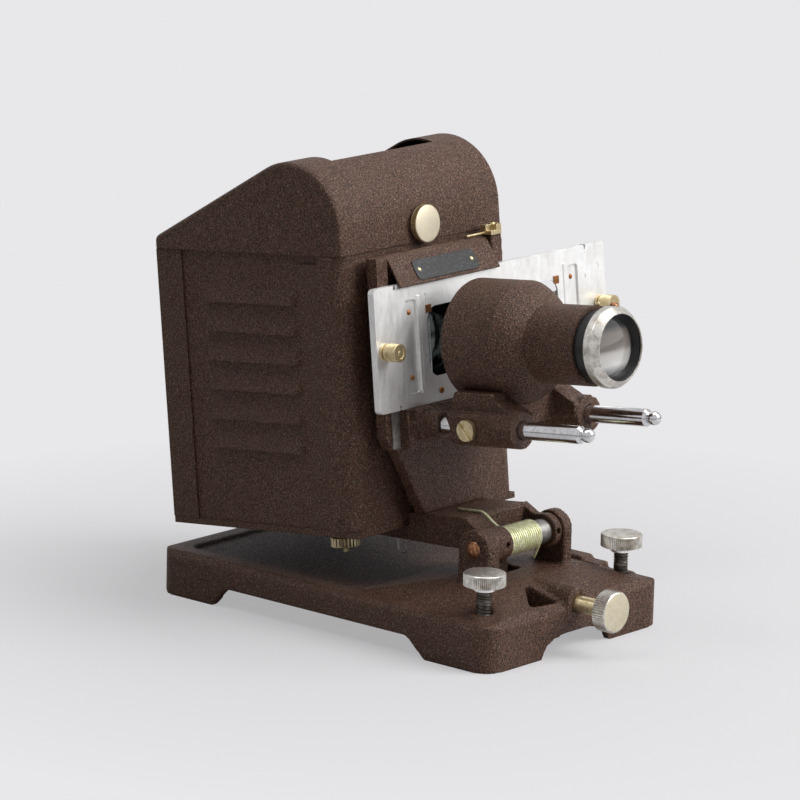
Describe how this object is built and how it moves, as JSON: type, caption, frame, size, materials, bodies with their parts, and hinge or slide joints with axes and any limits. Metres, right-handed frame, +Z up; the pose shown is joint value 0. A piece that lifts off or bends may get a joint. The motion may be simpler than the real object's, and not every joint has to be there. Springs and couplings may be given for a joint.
{
  "type": "slide projector",
  "caption": "Small tabletop slide projector: ventilated lamp house on a tilting arm over a cast base, with a sliding slide carrier and a focusing lens on guide rods.",
  "frame": {"origin": "centre of the bounding box at table level; the vertical plane through the lens axis is at x = -0.0317 m", "axes": "+Z up; the lens points along -Y, tilted up by 6.48 degrees at rest; +X is the side on which the slide carrier's loading window stands out"},
  "size_m": [0.2193, 0.2974, 0.2651],
  "materials": {
    "base_casting": "brown crackle enamel on cast metal",
    "hinge_pin": "bare copper-coloured riveted pin",
    "level_screw_left": "nickelled knurled head",
    "level_screw_right": "nickelled knurled head",
    "tilt_screw": "nickelled knurled head, brass-coloured stem",
    "tilt_arm": "brown crackle enamel on cast metal",
    "front_frame": "brown crackle enamel on cast metal",
    "house_front_sheet": "brown crackle enamel on sheet",
    "house_back_sheet": "brown crackle enamel on sheet",
    "corner_strip_left": "brown crackle enamel on sheet",
    "corner_strip_right": "brown crackle enamel on sheet",
    "side_panel_left": "brown crackle enamel on sheet",
    "side_panel_right": "brown crackle enamel on sheet",
    "bottom_tray": "brown crackle enamel on sheet",
    "house_rivets": "brown enamel",
    "condenser_barrel": "matt black",
    "condenser_lens_front": "polished",
    "condenser_lens_rear": "polished",
    "heat_glass": "polished",
    "socket_bracket": "plain",
    "lamp_socket": "unglazed white",
    "lamp_bulb": "clear",
    "lamp_reflector": "silvered",
    "guide_rod_left": "bright",
    "guide_rod_right": "bright",
    "slide_flap": "brown crackle enamel",
    "name_plate": "black with a bright rim, bare",
    "name_plate_rivets": "plain",
    "guide_strip": "satin",
    "hood_hinge_leaf": "brown enamel",
    "hood_hinge_pin": "plain",
    "spring_sleeve": "plain",
    "torsion_spring": "yellow passivated wire",
    "wire_loop": "plain wire",
    "power_inlet": "black moulding",
    "inlet_pins": "plain",
    "lamp_nut": "knurled",
    "hood_shell": "brown crackle enamel on sheet",
    "hood_baffle": "matt black",
    "hood_hinge_tab": "brown enamel",
    "hood_knob": "pale nickelled brass, knurled",
    "catch": "plain",
    "carrier_plate": "satin",
    "carrier_springs": "spring leaf",
    "carrier_knob_left": "turned",
    "carrier_knob_right": "turned",
    "carrier_studs": "plain",
    "lens_carriage": "brown crackle enamel on cast metal",
    "lens_housing": "brown crackle enamel",
    "stop_screw": "plain",
    "lock_screw": "slotted",
    "lens_barrel": "black",
    "lens_ring": "nickel, bare",
    "front_lens": "polished",
    "rear_lens": "polished",
    "ring_screw": "round head"
  },
  "bodies": {
    "base": {"base_casting": "base_casting", "hinge_pin": "hinge_pin"},
    "level_left": {"level_screw_left": "level_screw_left"},
    "level_right": {"level_screw_right": "level_screw_right"},
    "tilt_adjuster": {"tilt_screw": "tilt_screw"},
    "head": {"tilt_arm": "tilt_arm", "front_frame": "front_frame", "house_front_sheet": "house_front_sheet", "house_back_sheet": "house_back_sheet", "corner_strip_left": "corner_strip_left", "corner_strip_right": "corner_strip_right", "side_panel_left": "side_panel_left", "side_panel_right": "side_panel_right", "bottom_tray": "bottom_tray", "house_rivets": "house_rivets", "condenser_barrel": "condenser_barrel", "condenser_lens_front": "condenser_lens_front", "condenser_lens_rear": "condenser_lens_rear", "heat_glass": "heat_glass", "socket_bracket": "socket_bracket", "lamp_socket": "lamp_socket", "lamp_bulb": "lamp_bulb", "lamp_reflector": "lamp_reflector", "guide_rod_left": "guide_rod_left", "guide_rod_right": "guide_rod_right", "slide_flap": "slide_flap", "name_plate": "name_plate", "name_plate_rivets": "name_plate_rivets", "guide_strip": "guide_strip", "hood_hinge_leaf": "hood_hinge_leaf", "hood_hinge_pin": "hood_hinge_pin", "spring_sleeve": "spring_sleeve", "torsion_spring": "torsion_spring", "wire_loop": "wire_loop", "power_inlet": "power_inlet", "inlet_pins": "inlet_pins"},
    "lamp_clamp": {"lamp_nut": "lamp_nut"},
    "hood": {"hood_shell": "hood_shell", "hood_baffle": "hood_baffle", "hood_hinge_tab": "hood_hinge_tab"},
    "hood_fastener": {"hood_knob": "hood_knob"},
    "turn_catch": {"catch": "catch"},
    "slide_carrier": {"carrier_plate": "carrier_plate", "carrier_springs": "carrier_springs", "carrier_knob_left": "carrier_knob_left", "carrier_knob_right": "carrier_knob_right", "carrier_studs": "carrier_studs"},
    "lens_slide": {"lens_carriage": "lens_carriage", "lens_housing": "lens_housing", "stop_screw": "stop_screw"},
    "carriage_lock": {"lock_screw": "lock_screw"},
    "lens_unit": {"lens_barrel": "lens_barrel", "lens_ring": "lens_ring", "front_lens": "front_lens", "rear_lens": "rear_lens", "ring_screw": "ring_screw"}
  },
  "joints": [
    {"name": "head_tilt", "type": "hinge", "parent": "base", "child": "head", "pos_m": [-0.03165, -0.0725, 0.0558], "axis": [1, 0, 0], "range_deg": [-2, 8]},
    {"name": "tilt_screw_advance", "type": "slide", "parent": "base", "child": "tilt_adjuster", "axis": [0, 1, 0], "range_m": [-0.0011, 0.0042]},
    {"name": "level_left_advance", "type": "slide", "parent": "base", "child": "level_left", "axis": [0, 0, -1], "range_m": [0, 0.008]},
    {"name": "level_right_advance", "type": "slide", "parent": "base", "child": "level_right", "axis": [0, 0, -1], "range_m": [0, 0.008]},
    {"name": "lamp_clamp_turn", "type": "hinge", "parent": "head", "child": "lamp_clamp", "pos_m": [-0.05365, 0.03517, 0.03793], "axis": [0, 0.1129, 0.9936], "continuous": true},
    {"name": "hood_open", "type": "hinge", "parent": "head", "child": "hood", "pos_m": [-0.03165, 0.14614, 0.19974], "axis": [-1, 0, 0], "range_deg": [0, 95]},
    {"name": "hood_knob_turn", "type": "hinge", "parent": "head", "child": "hood_fastener", "pos_m": [-0.03165, -0.00034, 0.22594], "axis": [0, -0.9936, 0.1129], "continuous": true},
    {"name": "catch_turn", "type": "hinge", "parent": "head", "child": "turn_catch", "pos_m": [0.01935, -0.00699, 0.21704], "axis": [0, 0.1129, 0.9936], "range_deg": [0, 75]},
    {"name": "carrier_shift", "type": "slide", "parent": "head", "child": "slide_carrier", "axis": [-1, 0, 0], "range_m": [0, 0.077]},
    {"name": "focus_travel", "type": "slide", "parent": "head", "child": "lens_slide", "axis": [0, -0.9936, 0.1129], "range_m": [-0.006, 0.036]},
    {"name": "carriage_lock_turn", "type": "hinge", "parent": "lens_slide", "child": "carriage_lock", "pos_m": [-0.07165, -0.0669, 0.12375], "axis": [-1, 0, 0], "continuous": true},
    {"name": "lens_draw", "type": "slide", "parent": "lens_slide", "child": "lens_unit", "axis": [0, -0.9936, 0.1129], "range_m": [-0.006, 0.01]}
  ],
  "couplings": [
    {"joint": "tilt_screw_advance", "follows": "head_tilt", "m_per_rad": 0.0284}
  ]
}
